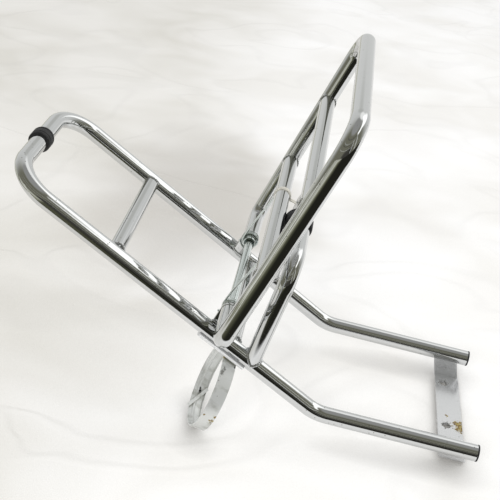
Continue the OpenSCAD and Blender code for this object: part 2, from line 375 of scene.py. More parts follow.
def new_group(name, inputs, outputs):
    """An empty shader node group with named sockets, and its group's ends."""
    group = bpy.data.node_groups.new(name, "ShaderNodeTree")
    for label, value in inputs:
        kind = "NodeSocketVector" if value is None else "NodeSocketFloat"
        socket = group.interface.new_socket(label, in_out="INPUT", socket_type=kind)
        if value is not None:
            socket.default_value = value
    for label in outputs:
        group.interface.new_socket(label, in_out="OUTPUT", socket_type="NodeSocketFloat")
    return group, group.nodes.new("NodeGroupInput"), group.nodes.new("NodeGroupOutput")


def build_surface_wear():
    """Fine wear: cloudy haze from two noises multiplied, and hairline scratches from a
    stretched one. It puts out a roughness, a small tint and a height."""
    group, start, end = new_group(
        "surface_wear", [("Point", None), ("Scale", 1.0), ("Rough", 0.1), ("Haze", 0.1)],
        ["Roughness", "Tint", "Height"],
    )
    links = [(0, start.outputs["Point"]), ("Scale", start.outputs["Scale"])]
    point = node(group, "ShaderNodeVectorMath", links, operation="SCALE").outputs[0]
    cloud = noise(group, point, 38.0, 5.0)
    fine = noise(group, point, 420.0, 3.0)
    lines = noise(group, mapped(group, point, scale=(1.0, 0.06, 0.3)), 900.0, 2.0)
    haze = times(group, times(group, cloud, fine), start.outputs["Haze"])
    group.links.new(math_node(group, "ADD", haze, start.outputs["Rough"]), end.inputs["Roughness"])
    group.links.new(ramp(group, cloud, 0.3, 0.7, bottom=0.94), end.inputs["Tint"])
    group.links.new(math_node(group, "ADD", lines, times(group, cloud, 2.0)), end.inputs["Height"])
    return group


def build_spot():
    """A ragged spot: full where the distance from its centre, plus some noise, is half its
    radius or less, fading to nought at its radius."""
    group, start, end = new_group(
        "ragged_spot", [("Point", None), ("Centre", None), ("Radius", 0.005), ("Ragged", 0.5)], ["Mask"],
    )
    point, centre, radius = (start.outputs[label] for label in ("Point", "Centre", "Radius"))
    reach = node(group, "ShaderNodeVectorMath", [(0, point), (1, centre)], operation="DISTANCE")
    rough_edge = math_node(group, "SUBTRACT", noise(group, point, 420.0, 4.0), 0.5)
    bite = times(group, times(group, rough_edge, start.outputs["Ragged"]), times(group, radius, 4.0))
    edge = math_node(group, "SUBTRACT", radius, math_node(group, "ADD", reach.outputs["Value"], bite))
    soft = math_node(group, "DIVIDE", edge, times(group, radius, 0.5), clamp=True)
    group.links.new(soft, end.inputs["Mask"])
    return group


def build_pitting():
    """Scattered pits: round cells of a Voronoi pattern, kept where the cell's own random
    value is under its share, which a broad noise raises in patches."""
    group, start, end = new_group("pitting", [("Point", None), ("Scale", 500.0), ("Share", 0.1)], ["Mask"])
    point = start.outputs["Point"]
    cells = node(group, "ShaderNodeTexVoronoi", [("Vector", point), ("Scale", start.outputs["Scale"])])
    dots = ramp(group, cells.outputs["Distance"], 0.34, 0.2)
    pick = node(group, "ShaderNodeSeparateColor", [(0, cells.outputs["Color"])]).outputs[0]
    patch = ramp(group, noise(group, point, 22.0, 2.0), 0.4, 0.62)
    kept = math_node(group, "LESS_THAN", pick, times(group, patch, start.outputs["Share"]))
    group.links.new(times(group, kept, dots), end.inputs["Mask"])
    return group


SURFACE_WEAR = build_surface_wear()
SPOT = build_spot()
PITTING = build_pitting()


# Finishes

RUST = (0.38, 0.31, 0.11, 1)
RUST_CORE = (0.12, 0.06, 0.022, 1)
# colour of dark marks, and of the painted shade in the plate's holes
DARK_MARK_AND_SHADE = (0.12, 0.12, 0.095, 1)
# colour of the painted shade in slots and gaps
GAP_SHADE = (0.012, 0.012, 0.01, 1)
# stain colour, also used for the painted shade in corners
STAIN_AND_SHADE = (0.24, 0.24, 0.18, 1)
PIT = (0.16, 0.15, 0.13, 1)
WORN = (0.72, 0.7, 0.66)
PIT_SCALE = 520.0
METAL_GRAIN = 0.0004
PLAIN_GRAIN = 0.0006
# reach of the painted corner shade, from ambient occlusion
CORNER_SHADE_REACH = 0.003


def use_group(tree, group, links):
    """A shader group placed in a tree with its own values."""
    return node(tree, "ShaderNodeGroup", links, node_tree=group)


def spots_mask(tree, point, spots):
    """The strongest of several ragged spots, each (centre in metres, radius, raggedness)."""
    total = None
    for centre, radius, ragged in spots:
        links = [("Point", point), ("Centre", tuple(centre)), ("Radius", radius), ("Ragged", ragged)]
        mask = use_group(tree, SPOT, links).outputs["Mask"]
        total = mask if total is None else math_node(tree, "MAXIMUM", total, mask)
    return total


def new_finish(name, scale, rough, haze):
    """A new material, its node tree, its Object coordinates and its wear group."""
    material = bpy.data.materials.new(name)
    material.use_nodes = True
    tree = material.node_tree
    point = tree.nodes.new("ShaderNodeTexCoord").outputs["Object"]
    links = [("Point", point), ("Scale", scale), ("Rough", rough), ("Haze", haze)]
    return material, tree, point, use_group(tree, SURFACE_WEAR, links).outputs


def wire_shader(tree, colour, roughness, metallic, height, bump, grain):
    """Colour, roughness, metallic and a bump from a height, put into the tree's shader."""
    shader = tree.nodes["Principled BSDF"]
    bumped = node(tree, "ShaderNodeBump", [("Height", height), ("Strength", bump), ("Distance", grain)])
    tree.links.new(colour, shader.inputs["Base Color"])
    tree.links.new(roughness, shader.inputs["Roughness"])
    set_input(tree, shader.inputs["Metallic"], metallic)
    tree.links.new(bumped.outputs[0], shader.inputs["Normal"])


def stained_and_corner_shaded(tree, point, plated, stain):
    """A plated colour under stains from a stretched noise above 0.5, and a painted shade in the
    corners where little of the sky is seen."""
    cloud = noise(tree, mapped(tree, point, scale=(1.0, 0.3, 0.3)), 210.0, 5.0)
    dirty = ramp(tree, cloud, 0.5, 0.74, top=stain)
    # painted shade: darker in corners where little of the sky is seen
    corners = ramp(tree, open_sky(tree, CORNER_SHADE_REACH), 0.9, 0.45, top=0.85)
    return mix_colour(tree, math_node(tree, "MAXIMUM", dirty, corners), plated, STAIN_AND_SHADE)


def metal(name, colour, rough, haze, scale, bump, rust=(), dark=(), painted_gap_shade=(), pits=0.06, metallic=1.0,
          stain=0.0):
    """A plated metal: its tint and roughness from the wear group, with pits, stains with painted corner
    shade, black spots of painted shade in gaps, dark spots for dark marks and painted shade in holes, and
    rusty spots laid over it in turn."""
    material, tree, point, wear = new_finish(name, scale, rough, haze)
    worn = tuple(c * share for c, share in zip(colour, WORN))
    plated = mix_colour(tree, wear["Tint"], (*worn, 1), (*colour, 1))
    pit = use_group(tree, PITTING, [("Point", point), ("Scale", PIT_SCALE), ("Share", pits)]).outputs["Mask"]
    plated = mix_colour(tree, times(tree, pit, 0.8), plated, PIT)
    roughness = mix_value(tree, pit, wear["Roughness"], 0.5)
    if stain:
        plated = stained_and_corner_shaded(tree, point, plated, stain)
    # black spots are painted shade in gaps; dark spots are dark marks, and painted shade in the plate's holes
    for spots, cover, share, spot_rough in ((painted_gap_shade, GAP_SHADE, 1.0, 0.7), (dark, DARK_MARK_AND_SHADE, 0.7, 0.6)):
        if spots:
            mask = spots_mask(tree, point, spots)
            plated = mix_colour(tree, times(tree, mask, share), plated, cover)
            roughness = mix_value(tree, mask, roughness, spot_rough)
    if rust:
        mask = spots_mask(tree, point, rust)
        core = ramp(tree, noise(tree, point, 900.0, 2.0), 0.46, 0.54)
        plated = mix_colour(tree, mask, plated, mix_colour(tree, core, RUST, RUST_CORE))
        roughness = mix_value(tree, mask, roughness, 0.85)
        metallic = mix_value(tree, mask, metallic, 0.0)
    wire_shader(tree, plated, roughness, metallic, wear["Height"], bump, METAL_GRAIN)
    return material


def plain(name, colour, second, rough, scale, bump):
    """A non-metal: two close colours in cloudy patches, with a fine grain."""
    material, tree, point, wear = new_finish(name, scale, rough, 0.3)
    mixed = mix_colour(tree, noise(tree, point, 160.0 * scale, 6.0), (*colour, 1), (*second, 1))
    wire_shader(tree, mixed, wear["Roughness"], 0.0, wear["Height"], bump, PLAIN_GRAIN)
    return material


def on_legs(x, y, z):
    """A point of the legs' frame in metres of the model."""
    return place((x, y, z), LEGS)


def on_plate(x, z, depth=0.0):
    """A point on the end plate's face, or that deep in it, in metres of the model."""
    return place((x, PLATE_FACE + depth, z), KNEE)


def on_ring(angle, along, radius=RING_R):
    """A point of the ring at an angle round its axis and a place along it, in metres."""
    a = math.radians(angle)
    return place((radius * math.cos(a), radius * math.sin(a), along), RING)


RING_INSIDE = RING_R - RING_T
CHROME = metal(
    "polished_chrome", (0.65, 0.66, 0.665), 0.035, 0.1, 1.0, 0.05,
    rust=[(on_legs(-LEG_X - 7, BOW_H - 14, 2), 0.0016, 0.8),
          (on_legs(-LEG_X, LOWER_BRACE + 6, 7.4), 0.001, 0.8)],
)
PLATE_CHROME = metal(
    "plate_chrome", (0.65, 0.655, 0.66), 0.15, 0.25, 1.6, 0.025, pits=0.04, metallic=0.75,
    rust=[(on_plate(-15, -147), 0.0078, 0.8), (on_plate(-21, -149), 0.006, 0.8),
          (on_plate(-4, -135), 0.0018, 1.0)],
    # dark spots in the two holes: painted shade on the hole walls and rims
    dark=[(on_plate(HOLE_MID + way * HOLE_GAP / 2, -HOLE_S, 1.5), 0.0049, 1.0) for way in (-1, 1)],
)
SADDLE_CHROME = metal("saddle_chrome", (0.72, 0.72, 0.71), 0.42, 0.4, 1.6, 0.2, pits=0.15, metallic=0.15)
WELD_CHROME = metal("weld_chrome", (0.64, 0.65, 0.66), 0.16, 0.5, 2.2, 0.35)
ZINC = metal("dull_zinc", (0.66, 0.71, 0.70), 0.07, 0.22, 1.6, 0.2, pits=0.1)
RING_ZINC = metal(
    "ring_zinc", (0.70, 0.71, 0.69), 0.38, 0.35, 1.4, 0.25, pits=0.06, metallic=0.55, stain=0.6,
    rust=[(on_ring(185, 5.2), 0.0026, 1.0), (on_ring(177, 6), 0.0018, 1.0), (on_ring(178, -5), 0.0014, 1.0),
          (on_ring(95, -5.6), 0.0016, 1.0), (on_ring(262, 5.5, RING_R - 2), 0.0018, 1.0)],
    dark=[(on_ring(118, -4.7), 0.0028, 1.0), (on_ring(112, -3.6), 0.0018, 1.0)],
    # black spots: painted shade in the band's slot and in the gaps by the leg
    painted_gap_shade=[(on_ring(306, 1.2, RING_INSIDE), 0.0016, 0.2), (on_ring(309, 0.2, RING_INSIDE), 0.002, 0.2),
           (on_ring(312, -0.8, RING_INSIDE), 0.0016, 0.2), (on_ring(91, 2.6, RING_INSIDE), 0.0012, 0.3),
           (on_ring(93, 1.6), 0.001, 0.3), (on_ring(103, 6.5), 0.0012, 0.3), (on_ring(105, 5.8), 0.001, 0.3)],
)
RUBBER = plain("black_rubber", (0.006, 0.006, 0.007), (0.016, 0.016, 0.017), 0.5, 2.0, 0.3)
STRAP = plain("cream_tape", (0.66, 0.64, 0.57), (0.56, 0.53, 0.45), 0.45, 3.0, 0.3)


# Tubes

def u_path(half, start, top, radius):
    """A U along Y: up one arm, round a corner, across and down the other arm."""
    low = top - radius
    return join_path([
        straight((-half, start, 0), (-half, low, 0)),
        arc((-half + radius, low, 0), radius, (-1, 0, 0), (0, 1, 0), 90),
        straight((-half + radius, top, 0), (half - radius, top, 0)),
        arc((half - radius, low, 0), radius, (0, 1, 0), (1, 0, 0), 90),
        straight((half, low, 0), (half, start, 0)),
    ])


def main_path():
    """The main tube in the legs' frame: foot, knee, leg, bow, leg, knee, foot. Each knee is
    an arc that starts KNEE_R tan(turn / 2) from the corner."""
    t = math.radians(KNEE_TURN)
    run = KNEE_R * math.tan(t / 2)
    corner = np.array([0, -KNEE_DROP, 0])
    down = np.array([0, -math.cos(t), math.sin(t)])
    end = corner + FOOT_L * down
    bend_end = corner + run * down
    a = np.linspace(0, t, 16)[:, None]
    turn = np.array([0, -(KNEE_DROP - run), KNEE_R]) + KNEE_R * (
        np.sin(a) * np.array([0, -1, 0]) - np.cos(a) * np.array([0, 0, 1]))
    way = -np.cos(a) * np.array([0, 1, 0]) + np.sin(a) * np.array([0, 0, 1])
    left = np.array([-LEG_X, 0, 0])
    return join_path([
        straight(end + left, bend_end + left),
        (turn[::-1] + left, -way[::-1]),
        u_path(LEG_X, -(KNEE_DROP - run), BOW_H, BOW_R),
        (turn - left, way),
        straight(bend_end - left, end - left),
    ])


def carrier_path():
    """The carrier's loop in its own frame, from one ear to the other: a U whose arms turn
    in at the hinge line."""
    s, h, end = SIDE_X, HINGE_R, EAR_OUT + PAST_EAR
    return join_path([
        straight((-end, 0, 0), (-(s - h), 0, 0)),
        arc((-(s - h), h, 0), h, (0, -1, 0), (-1, 0, 0), 90),
        u_path(s, h, CARRIER_L, END_R),
        arc((s - h, h, 0), h, (1, 0, 0), (0, -1, 0), 90),
        straight((s - h, 0, 0), (end, 0, 0)),
    ])


def coped_end(half, a):
    """Where a cross tube of radius BAR meets the tubes beside it, for each angle a round
    its section: half - sqrt(TUBE^2 - (BAR cos a)^2)."""
    return half - np.sqrt(TUBE ** 2 - (BAR * np.cos(a)) ** 2)


def cross_tube(y, half):
    """A tube along X whose two ends follow the coped line, set CUT_IN into the tubes."""
    a = circle(TUBE_SIDES)
    end = coped_end(half, a) + CUT_IN
    across, up = y + BAR * np.cos(a), BAR * np.sin(a)
    share = np.array([-1.0, -0.5, 0.0, 0.5, 1.0])[:, None]
    return shell(np.stack([share * end, 0 * share + across, 0 * share + up], -1))


def bead(points, out, radius, seed, ripples=23):
    """A weld bead: a round section carried along a closed seam, its radius rippled as
    1 + 0.1 sin(n t) + 0.06 sin(2.3 n t), and out pointing away from the joint."""
    t = circle(len(points))
    ways = unit(np.roll(points, -1, 0) - np.roll(points, 1, 0))
    r = radius * (1 + 0.1 * np.sin(ripples * t + seed) + 0.06 * np.sin(round(2.3 * ripples) * t + seed))
    u = unit(out - (out * ways).sum(-1, keepdims=True) * ways)
    v = np.cross(ways, u)
    a = circle(BEAD_SIDES)[None, :, None]
    grid = points[:, None] + r[:, None, None] * (np.cos(a) * u[:, None] + np.sin(a) * v[:, None])
    return shell(grid, wrap_rows=True)


def cross_beads(y, half):
    """The beads round both ends of a cross tube, on its coped line."""
    a = circle(SEAM_STEPS)
    made = []
    for side in (-1, 1):
        seam = np.stack([side * coped_end(half, a), y + BAR * np.cos(a), BAR * np.sin(a)], -1)
        out = np.stack([0 * a, np.cos(a), np.sin(a)], -1)
        made.append(bead(seam, out, CROSS_BEAD, seed=side + y))
    return made


def support_seam(a):
    """Where the support bow's arm meets the leg, as the distance along the arm for each
    angle round it: (sqrt(tube^2 - x^2) - w cos lean) / sin lean."""
    lean = math.radians(SUPPORT_LEAN)
    x, w = SUPPORT_TUBE * np.cos(a), SUPPORT_TUBE * np.sin(a)
    return (np.sqrt(TUBE ** 2 - x ** 2) - w * math.cos(lean)) / math.sin(lean)


def support_tube():
    """The support bow, its first and last rings moved along the arms to the seam, CUT_IN
    into the legs."""
    points, ways = u_path(LEG_X, 0, SUPPORT_L, SUPPORT_R)
    p, f = sweep(points, ways, SUPPORT_TUBE)
    last = (len(points) - 1) * TUBE_SIDES
    for ring in (p[:TUBE_SIDES], p[last:last + TUBE_SIDES]):
        angle = np.arctan2(ring[:, 2], ring[:, 0] - np.sign(ring[:, 0].mean()) * LEG_X)
        ring[:, 1] = support_seam(angle) - CUT_IN
    return p, f


def support_beads():
    """The beads at the support bow's two feet, on the seam."""
    a = circle(SEAM_STEPS)
    x, y, z = SUPPORT_TUBE * np.cos(a), support_seam(a), SUPPORT_TUBE * np.sin(a)
    out = np.stack([np.cos(a), 0 * a, np.sin(a)], -1)
    return [bead(np.stack([side * LEG_X + x, y, z], -1), out, SUPPORT_BEAD, seed=side) for side in (-1, 1)]


def tube_piece(name, made_shell, matrix, body):
    """A tube that stands for the CAD node of the same name."""
    obj = piece(name + "_chromed", [made_shell], matrix, body, CHROME)
    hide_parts(name)


tube_piece("main_frame_tube", sweep(*main_path(), TUBE), LEGS, "frame")
tube_piece("carrier_loop", sweep(*carrier_path(), TUBE), CARRIER, "carrier")
tube_piece("upper_cross_brace", cross_tube(UPPER_BRACE, LEG_X), LEGS, "frame")
tube_piece("lower_cross_brace", cross_tube(LOWER_BRACE, LEG_X), LEGS, "frame")
tube_piece("outer_slat", cross_tube(SLATS[0], SIDE_X), CARRIER, "carrier")
tube_piece("inner_slat", cross_tube(SLATS[1], SIDE_X), CARRIER, "carrier")
tube_piece("support_bow", support_tube(), SUPPORT, "frame")

brace_beads = cross_beads(UPPER_BRACE, LEG_X) + cross_beads(LOWER_BRACE, LEG_X)
slat_beads = cross_beads(SLATS[0], SIDE_X) + cross_beads(SLATS[1], SIDE_X)
piece("brace_welds", brace_beads, LEGS, "frame", WELD_CHROME)
piece("slat_welds", slat_beads, CARRIER, "carrier", WELD_CHROME)
piece("support_welds", support_beads(), SUPPORT, "frame", WELD_CHROME)


# Hinge

def ear(side):
    """A hinge ear: the hull of a round head and a foot. Its outline is the head's arc
    between the tangents from the foot's two upper corners, its rim a quarter round of
    EAR_EDGE."""
    head = np.array([0.0, HINGE_H])
    back, front = EAR_FOOT
    low, high = -EAR_SINK, EAR_FOOT_H

    def tangent_angle(corner, sign):
        """Where a line from a corner touches the head: the corner's angle, plus or minus
        acos(EAR_R / distance)."""
        off = np.array(corner) - head
        return math.atan2(off[1], off[0]) + sign * math.acos(EAR_R / np.linalg.norm(off))

    a = np.linspace(tangent_angle((front, high), 1), tangent_angle((back, high), -1) + 2 * math.pi, 44)
    cap = head + EAR_R * np.stack([np.cos(a), np.sin(a)], -1)
    outline = np.vstack([cap, [[back, high], [back, low], [front, low], [front, high]]])
    way = unit(np.roll(outline, -1, 0) - np.roll(outline, 1, 0))
    inward = np.stack([-way[:, 1], way[:, 0]], -1)
    b = np.radians(np.linspace(0, 90, 6))
    inset = EAR_EDGE * np.concatenate([1 - np.sin(b), 1 - np.cos(b)])
    depth = np.concatenate([EAR_EDGE * (1 - np.cos(b)), EAR_T - EAR_EDGE * (1 - np.sin(b))])
    rings = outline[None] + inset[:, None, None] * inward[None]
    x = side * (EAR_OUT - EAR_T + depth)[:, None] + np.zeros(len(outline))
    return shell(np.concatenate([x[..., None], rings], -1))


def squared(wave, power):
    """A wave made squarer: its sign times its size to a power under one."""
    return np.sign(wave) * np.abs(wave) ** power


def ear_bead(side):
    """The bead round the ear's foot: a squared oval EAR_BEAD_OUT wider than the foot, on
    the leg's surface, where z = sqrt(TUBE^2 - (x - leg)^2)."""
    t = circle(140)
    back, front = EAR_FOOT
    y = (front + back) / 2 + ((front - back) / 2 + EAR_BEAD_OUT) * squared(np.cos(t), 0.4)
    x = side * (EAR_OUT - EAR_T / 2 + (EAR_T / 2 + EAR_BEAD_OUT) * squared(np.sin(t), 0.5))
    z = np.sqrt(TUBE ** 2 - (x - side * LEG_X) ** 2)
    out = unit(np.stack([x - side * LEG_X, 0 * y, z], -1))
    return bead(np.stack([x, y, z], -1), out, EAR_BEAD, seed=side, ripples=31)


def bush(side):
    """A pivot bush turned round X: a wide mouth at its inner end, a collar, a groove and
    the plain shank."""
    mouth, tail = BUSH_END, EAR_OUT + BUSH_TAIL
    mouth_r, groove_r = 5.2, BUSH - 0.5
    outline = rounded([
        (ROD, mouth + 2.4), (mouth_r, mouth + 2), (mouth_r, mouth), (BUSH, mouth), (BUSH, mouth + 4),
        (groove_r, mouth + 4.3), (groove_r, mouth + 4.9), (BUSH, mouth + 5.2), (BUSH, tail), (ROD, tail),
    ], 0.4)
    outline[:, 1] *= side
    return lathe(outline)


def rod():
    """The hinge rod, its ends domed as quarter ellipses."""
    end, dome, tip = EAR_OUT + ROD_TAIL, 2.0, 0.02
    a = np.radians(np.linspace(0, 90, 8))
    half = np.stack([ROD * np.sin(a), end - dome + dome * np.cos(a)], -1)
    profile = np.vstack([half, half[::-1] * [1, -1]])
    profile[0, 0] = profile[-1, 0] = tip
    return lathe(profile, sides=48)


for name, side in (("left", -1), ("right", 1)):
    made = piece("hinge_ear_" + name + "_plate", [ear(side)], LEGS, "frame", CHROME)
    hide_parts("hinge_ear_" + name)
    made = piece("pivot_bush_" + name + "_turned", [bush(side)], CARRIER, "carrier", ZINC)
    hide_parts("pivot_bush_" + name)
piece("ear_welds", [ear_bead(-1), ear_bead(1)], LEGS, "frame", WELD_CHROME)
made = piece("hinge_rod_drawn", [rod()], CARRIER, "carrier", ZINC)
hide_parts("hinge_rod")


def bezier(control, t):
    """The curve of n control points: the sum of C(n-1, k) t^k (1 - t)^(n-1-k) times each."""
    n = len(control) - 1
    weights = np.stack([math.comb(n, k) * t ** k * (1 - t) ** (n - k) for k in range(n + 1)], -1)
    return weights @ np.array(control)


def spring(side, tip_x):
    """A torsion spring: two turns as a helix (COIL cos a, COIL sin a), a rounded elbow,
    then its straight arm to the slat. Its tip touches the slat sqrt((BAR + WIRE)^2 - low^2)
    before the slat's middle."""
    a = np.radians(np.linspace(270 - 720, 270, 120))
    turns = (a - a[0]) / (2 * math.pi)
    helix = np.stack([COIL_X - COIL_PITCH * turns, COIL * np.cos(a), COIL * np.sin(a)], -1)
    low = -4.2
    tip = np.array([tip_x, SLATS[1] - math.sqrt((BAR + WIRE) ** 2 - low ** 2), low])
    leave = np.array([COIL_X - 2 * COIL_PITCH, 9.0, -COIL])
    run = leave + 0.12 * (tip - leave)
    elbow = bezier([helix[-1], leave * [1, 0.5, 1], run], np.linspace(0, 1, 12)[1:])
    t = np.linspace(0, 1, 14)[1:, None]
    points = np.vstack([helix, elbow, run + t * (tip - run)]) * [side, 1, 1]
    return sweep(points, np.gradient(points, axis=0), WIRE, sides=16, up=(1, 0, 0.02))


def spring_tail(side):
    """The spring's other end: a Bezier curve that leaves the coil and hooks over the leg."""
    x = side * COIL_X
    points = bezier([(x, 7.5, HINGE_H - 8.0), (x, 0.0, HINGE_H - 15.5), (x, -8.5, 11.5),
                     (x + side * 0.5, -12.6, 10.4), (x + side * 5.0, -12.9, 9.0)], np.linspace(0, 1, 40))
    return sweep(points, np.gradient(points, axis=0), WIRE, sides=14, up=(1, 0.02, 0))


for name, side, tip in (("left", -1, SPRING_TIPS[0]), ("right", 1, SPRING_TIPS[1])):
    made = piece("torsion_spring_" + name + "_wire", [spring(side, tip)], CARRIER, "carrier", ZINC)
    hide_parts("torsion_spring_" + name)
piece("spring_tails", [spring_tail(-1), spring_tail(1)], LEGS, "frame", ZINC)


# Rubber

def buffer_ring(r, bore, y):
    """A buffer turned round X and moved along Y: rounded shoulders and two shallow grooves."""
    w, g = BUFFER_W, BUFFER_W - 4.6
    corners = [(bore, -w), (r - 2.6, -w), (r - 0.8, -w + 0.7), (r, -w + 2.4), (r, -g - 0.9), (r - 0.7, -g),
               (r, -g + 0.9), (r, g - 0.9), (r - 0.7, g), (r, g + 0.9), (r, w - 2.4), (r - 0.8, w - 0.7),
               (r - 2.6, w), (bore, w)]
    points, faces = lathe(rounded(corners, 0.7, 4))
    return points + np.array([0, y, 0]), faces


def support_to_slat():
    """The frame on the support bow's top that points at the inner slat, and the room
    between the two: both places are (distance cos lean, distance sin lean)."""
    lean, support_lean = math.radians(CARRIER_LEAN), math.radians(SUPPORT_LEAN)
    off_y = SLATS[1] * math.cos(lean) - (SUPPORT_L * math.cos(support_lean) - SUPPORT_DROP)
    off_z = HINGE_H + SLATS[1] * math.sin(lean) - SUPPORT_L * math.sin(support_lean)
    aim = math.degrees(math.atan2(off_z, off_y))
    matrix = SUPPORT @ shift(0, SUPPORT_L, 0) @ turn_x(aim - SUPPORT_LEAN)
    return matrix, math.hypot(off_y, off_z) - BAR - REST_GAP


made = piece("bow_buffer_moulded", [buffer_ring(BOW_BUFFER, TUBE, BOW_H)], LEGS, "frame", RUBBER)
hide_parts("bow_buffer")

to_slat, reach = support_to_slat()
support_ring = buffer_ring(reach - BUFFER_SHIFT, BUFFER_BORE, BUFFER_SHIFT)
made = piece("support_buffer_moulded", [support_ring], to_slat, "frame", RUBBER)
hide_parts("support_buffer")


# Ring bracket

def ring_band():
    """The ring's stepped band, its corners eased, carried round its axis."""
    r, w, inside = RING_R, RING_HALF, RING_INSIDE
    section = [(inside, -w), (r - 0.5, -w), (r, -w + 0.5), (r, w - 0.4), (r - 0.4, w), (r - 2.6, w),
               (r - 2.6, w - 0.9), (r - 1.2, w - 1.1), (r - 1.2, -w + 6.5), (inside - 0.9, -w + 5),
               (inside - 0.9, -w + 4), (inside, -w + 3)]
    return lathe(rounded(section, 0.5, 4), axis="z", sides=180)


made = piece("ring_bracket_rolled", [ring_band()], RING, "frame", RING_ZINC)
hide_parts("ring_bracket")

# CAD nodes that are shown as they are, with a finish of their own

for name, material in (("end_plate", PLATE_CHROME), ("leg_saddle", SADDLE_CHROME), ("ring_tongue", RING_ZINC),
                       ("end_plug_left", RUBBER), ("end_plug_right", RUBBER), ("slat_strap", STRAP)):
    nodes[name].data.materials.clear()
    nodes[name].data.materials.append(material)


# Floor: metres from here on

UP = unit(np.array([0.0, -0.9971, 0.0762]))
AWAY = np.array([1.0, 0.0, 0.0])
ACROSS = np.cross(UP, AWAY)
FLOOR_DEPTH = -0.0024
FLOOR_HALF = 6.0
SHEET_EDGE = ((-0.97, 0.0, -0.24), 0.17)
SHEET_TOP = 0.8
# reach of the painted contact shadow on the sheet
CONTACT_SHADOW_REACH = 0.03
BARE_FLOOR = (0.021, 0.021, 0.016, 1)
FLOOR_BANDS = (
    (0.22, 0.5, (0.095, 0.096, 0.062, 1)),
    (0.5, 0.85, (0.37, 0.37, 0.28, 1)),
    (1.0, 1.12, (0.78, 0.78, 0.68, 1)),
    (1.25, 1.4, (0.56, 0.56, 0.49, 1)),
)
FLOOR_RAYS = (
    (0.95, 0.06, (0.8, 0.8, 0.78, 1)),
    (1.45, 0.09, (0.24, 0.24, 0.19, 1)),
    (1.93, 0.035, (1.25, 1.25, 1.2, 1)),
    (2.08, 0.05, (0.26, 0.26, 0.2, 1)),
)


def cloth_shape(tree, point):
    """The sheet's folds, its thin creases, and both with a fine weave as one height. A
    crease is a band of a wavy noise round 0.5."""
    drawn = mapped(tree, point, rotation=(0.0, 0.6, 0.0), scale=(1.0, 1.0, 0.8))
    fold = noise(tree, drawn, 6.5, 2.0, 0.5)
    wavy = noise(tree, drawn, 4.2, 1.5, 1.6)
    crease = span(tree, apart(tree, wavy, 0.5), 0.05, 0.0)
    height = math_node(tree, "ADD", fold, times(tree, noise(tree, point, 700.0, 2.0), 0.05))
    height = math_node(tree, "ADD", height, times(tree, crease, 0.12))
    return fold, crease, height


def room_floor(tree, x, z):
    """The room's floor past the sheet, as only the chrome sees it: bands along Z, and
    rays at angles round a point by the rack."""
    tone = BARE_FLOOR
    for low, high, colour in FLOOR_BANDS:
        tone = mix_colour(tree, span(tree, z, low, high), tone, colour)
    angle = math_node(tree, "ARCTAN2", math_node(tree, "SUBTRACT", z, 0.2), math_node(tree, "ADD", x, 0.14))
    for middle, half, colour in FLOOR_RAYS:
        ray = times(tree, stripe(tree, angle, middle, half, 0.6), span(tree, z, 0.35, 0.8))
        tone = mix_colour(tree, ray, tone, colour)
    return tone


def cloth_painted_light(tree, point, z, fold, crease, tone):
    """The cloth's painted glow: white near the rack and cream further up, lighter and darker with
    the folds as painted fold shading, a painted shade patch between the bow and the carrier, and
    painted contact shadow and crease shade from the square of the sky's open share."""
    # tone follows the folds: painted fold shading in the glow
    white = mix_colour(tree, tone, (1.04, 1.02, 0.97, 1), (1.16, 1.15, 1.12, 1))
    cream = mix_colour(tree, tone, (0.72, 0.69, 0.60, 1), (0.86, 0.83, 0.75, 1))
    painted_glow = mix_colour(tree, span(tree, z, 0.22, 0.5), white, cream)
    # painted shade patch between the bow and the carrier
    inner = mapped(tree, point, location=(-0.22, 0.0, -0.33), scale=(0.62, 0.0, 1.0))
    shade_patch_reach = node(tree, "ShaderNodeVectorMath", [(0, inner)], operation="LENGTH").outputs["Value"]
    shade_patch_reach = math_node(tree, "ADD", shade_patch_reach, times(tree, fold, 0.12))
    painted_glow = mix_colour(tree, span(tree, shade_patch_reach, 0.27, 0.12), painted_glow, (0.47, 0.43, 0.35, 1))
    # painted contact shadow from ambient occlusion, and painted shade in the creases
    open_share = open_sky(tree, CONTACT_SHADOW_REACH)
    crease_painted_shade = math_node(tree, "SUBTRACT", 1.0, times(tree, crease, 0.06))
    contact_and_crease_painted_shade = times(tree, times(tree, open_share, open_share), crease_painted_shade)
    return mix_colour(tree, contact_and_crease_painted_shade, (0.2, 0.19, 0.17, 1), painted_glow)


